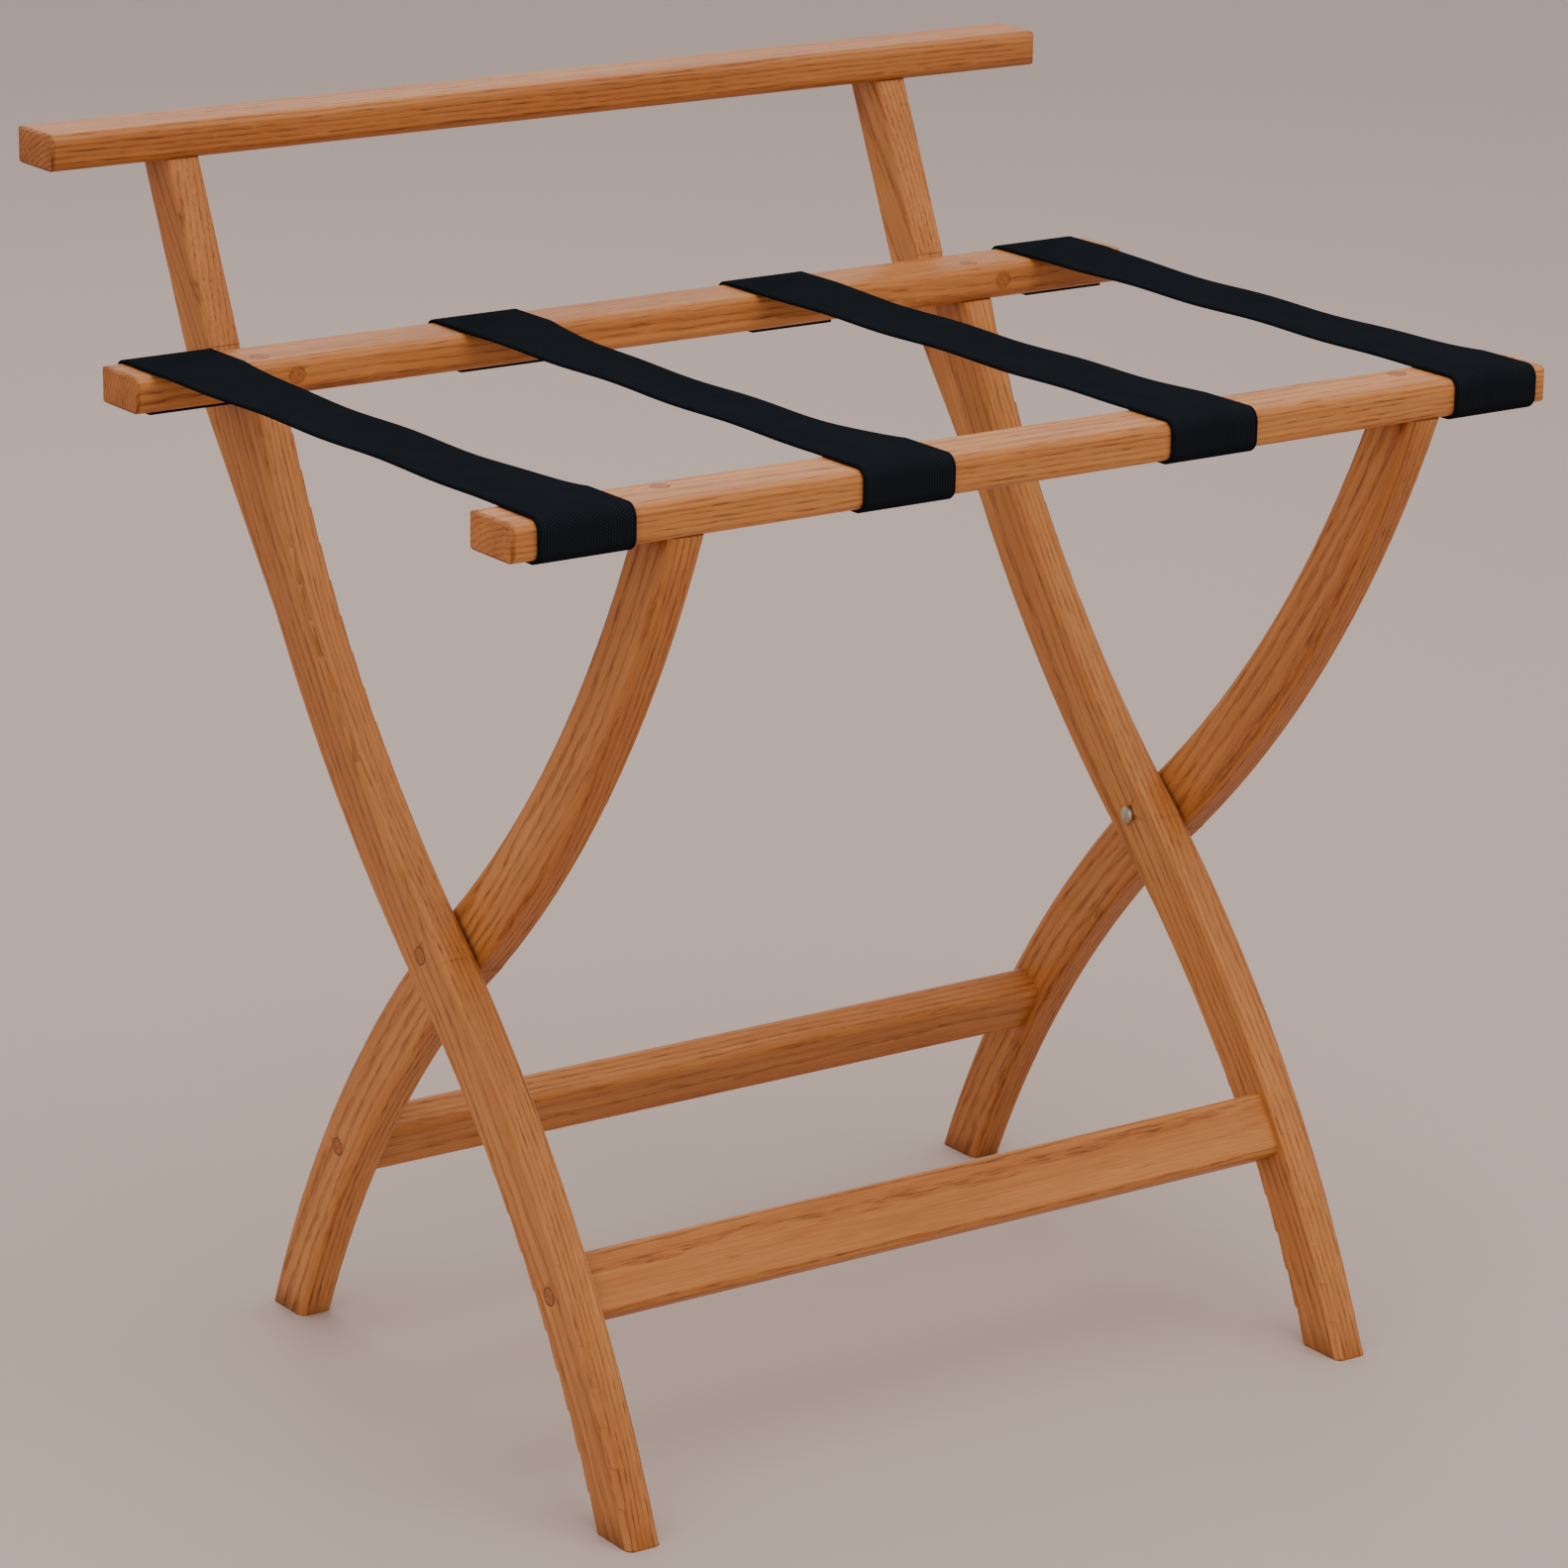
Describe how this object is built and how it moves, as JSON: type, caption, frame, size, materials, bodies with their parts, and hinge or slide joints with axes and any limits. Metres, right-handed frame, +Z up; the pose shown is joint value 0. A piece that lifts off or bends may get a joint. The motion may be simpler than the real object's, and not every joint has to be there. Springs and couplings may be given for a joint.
{
  "type": "folding luggage rack",
  "caption": "Folding wooden luggage rack with curved crossed legs, webbing straps between two seat rails and a raised guard rail along the back.",
  "frame": {"origin": "the floor point under the middle of the rack's outline, midway between its left and right ends; the pivot line is 40.55 mm in front of it", "axes": "+X along the rails to the right, +Y from the open front towards the guard rail, +Z up"},
  "size_m": [0.61, 0.4688, 0.622],
  "materials": {
    "oak_rail": "satin",
    "oak_leg": "satin",
    "oak_stretcher": "satin",
    "bolt_steel": "satin",
    "pivot_cap_metal": "satin",
    "oak_plug": "satin",
    "screw_steel": "satin",
    "dowel_wood": "matte",
    "black_webbing": "matte",
    "staple_steel": "satin"
  },
  "bodies": {
    "back_frame": {"guard_rail": "oak_rail", "back_seat_rail": "oak_rail", "post_leg_left": "oak_leg", "post_leg_right": "oak_leg", "front_stretcher": "oak_stretcher", "pivot_bolt_left": "bolt_steel", "pivot_cap_left": "pivot_cap_metal", "pivot_washers": "bolt_steel", "pivot_plug_left": "oak_plug", "back_rail_plugs": "oak_plug", "back_face_plugs": "oak_plug", "front_stretcher_plugs": "oak_plug", "back_rail_screws": "screw_steel", "back_face_screws": "screw_steel", "front_stretcher_screws": "screw_steel", "guard_rail_dowels": "dowel_wood", "strap_span_1": "black_webbing", "strap_span_2": "black_webbing", "strap_span_3": "black_webbing", "strap_span_4": "black_webbing", "strap_back_1": "black_webbing", "strap_back_2": "black_webbing", "strap_back_3": "black_webbing", "strap_back_4": "black_webbing", "back_staples": "staple_steel"},
    "front_frame": {"front_seat_rail": "oak_rail", "short_leg_left": "oak_leg", "short_leg_right": "oak_leg", "rear_stretcher": "oak_stretcher", "pivot_bolt_right": "bolt_steel", "pivot_cap_right": "pivot_cap_metal", "pivot_plug_right": "oak_plug", "front_rail_plugs": "oak_plug", "rear_stretcher_plugs": "oak_plug", "front_rail_screws": "screw_steel", "rear_stretcher_screws": "screw_steel", "strap_front_1": "black_webbing", "strap_front_2": "black_webbing", "strap_front_3": "black_webbing", "strap_front_4": "black_webbing", "front_staples": "staple_steel"}
  },
  "joints": [
    {"name": "fold", "type": "hinge", "parent": "back_frame", "child": "front_frame", "pos_m": [0, -0.04055, 0.248], "axis": [1, 0, 0], "range_deg": [-60, 0], "deforming": ["strap_span_1", "strap_span_2", "strap_span_3", "strap_span_4"]}
  ]
}
